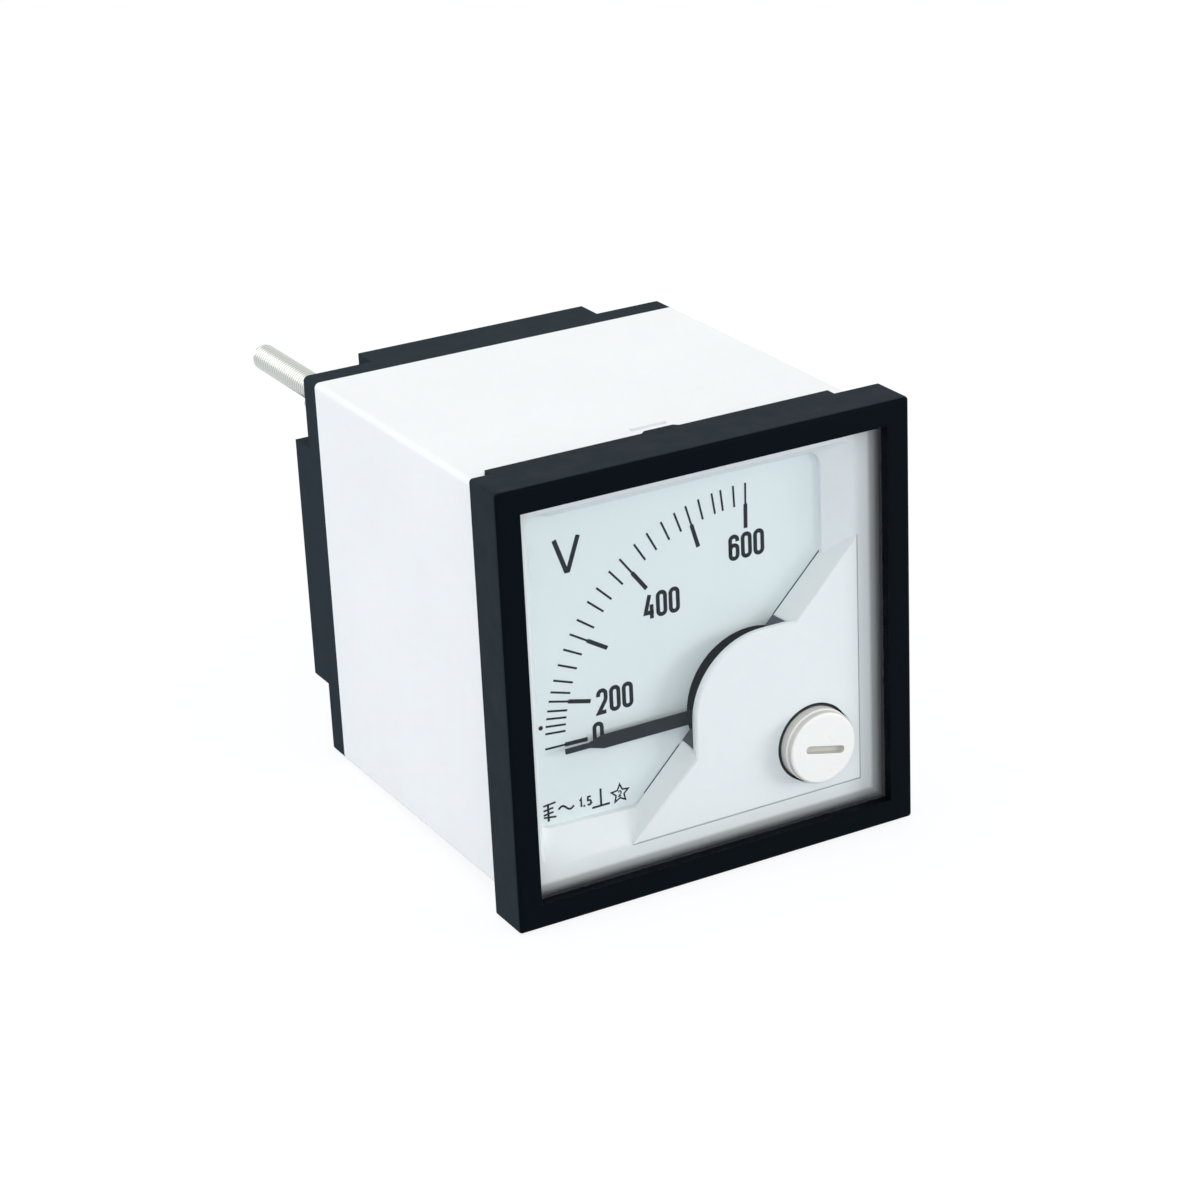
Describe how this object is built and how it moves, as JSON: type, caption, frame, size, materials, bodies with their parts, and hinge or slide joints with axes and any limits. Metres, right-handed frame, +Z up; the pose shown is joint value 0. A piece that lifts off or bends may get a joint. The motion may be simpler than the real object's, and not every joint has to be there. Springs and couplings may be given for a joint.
{
  "type": "analog panel meter",
  "caption": "Square analog voltmeter for panel mounting: black bezel, quadrant dial with pointer and zero adjuster, white case, black terminal cover, threaded fixing studs.",
  "frame": {"origin": "centre of the square in the plane of the bezel's panel-side face, which is the front surface of the panel it is mounted in", "axes": "+X to the right seen from the front, +Y backwards into the panel, along the case, +Z up the dial"},
  "size_m": [0.048, 0.069, 0.048],
  "materials": {
    "bezel": "satin black moulded plastic",
    "window_pane": "clear polished pane",
    "dial_mask": "white moulded plastic",
    "dial_plate": "matt white print ground with dark grey print",
    "dial_screws": "machined",
    "movement_frame": "black moulded plastic",
    "front_bridge": "rolled sheet",
    "front_jewel": "turned",
    "rear_jewel": "turned",
    "rear_bridge": "stamped",
    "bridge_screws": "zinc plated",
    "coil_bobbin": "moulded plastic",
    "coil_winding": "enamelled copper wire",
    "fixed_iron": "soft iron sheet",
    "case": "white moulded plastic",
    "rear_cover": "black moulded plastic",
    "fixing_studs": "bright zinc plate on threaded steel",
    "stud_washers": "bright zinc plate",
    "stud_nuts": "bright zinc plate",
    "terminal_bushings": "turned",
    "terminal_clamps": "nickel plate",
    "terminal_screws": "nickel plate",
    "resistor_board": "phenolic board",
    "series_resistors": "coated resistor with tinned legs",
    "coil_leads": "insulated wire",
    "staff": "ground steel",
    "pointer": "matt dark paint on sheet",
    "balance_weights": "turned",
    "damping_vane": "thin sheet",
    "hairspring": "bronze strip",
    "moving_iron": "soft iron sheet",
    "zero_adjuster": "white moulded plastic",
    "zero_lever": "stamped"
  },
  "bodies": {
    "meter": {"bezel": "bezel", "window_pane": "window_pane", "dial_mask": "dial_mask", "dial_plate": "dial_plate", "dial_screws": "dial_screws", "movement_frame": "movement_frame", "front_bridge": "front_bridge", "front_jewel": "front_jewel", "rear_jewel": "rear_jewel", "rear_bridge": "rear_bridge", "bridge_screws": "bridge_screws", "coil_bobbin": "coil_bobbin", "coil_winding": "coil_winding", "fixed_iron": "fixed_iron", "case": "case", "rear_cover": "rear_cover", "fixing_studs": "fixing_studs", "stud_washers": "stud_washers", "stud_nuts": "stud_nuts", "terminal_bushings": "terminal_bushings", "terminal_clamps": "terminal_clamps", "terminal_screws": "terminal_screws", "resistor_board": "resistor_board", "series_resistors": "series_resistors", "coil_leads": "coil_leads"},
    "movement": {"staff": "staff", "pointer": "pointer", "balance_weights": "balance_weights", "damping_vane": "damping_vane", "hairspring": "hairspring", "moving_iron": "moving_iron"},
    "adjuster": {"zero_adjuster": "zero_adjuster"},
    "lever": {"zero_lever": "zero_lever"}
  },
  "joints": [
    {"name": "pointer_swing", "type": "hinge", "parent": "meter", "child": "movement", "pos_m": [0.0071, 0, -0.0071], "axis": [0, 1, 0], "range_deg": [0, 92], "stiffness_Nm_per_rad": 0.0001, "springref_deg": -4.58, "deforming": ["hairspring"]},
    {"name": "zero_adjust", "type": "hinge", "parent": "meter", "child": "adjuster", "pos_m": [0.0129, 0, -0.0129], "axis": [0, 1, 0], "range_deg": [-30, 30]},
    {"name": "lever_swing", "type": "hinge", "parent": "meter", "child": "lever", "pos_m": [0.0071, 0, -0.0071], "axis": [0, 1, 0], "range_deg": [-7, 7]}
  ],
  "couplings": [
    {"joint": "lever_swing", "follows": "zero_adjust", "ratio": -0.2216}
  ]
}
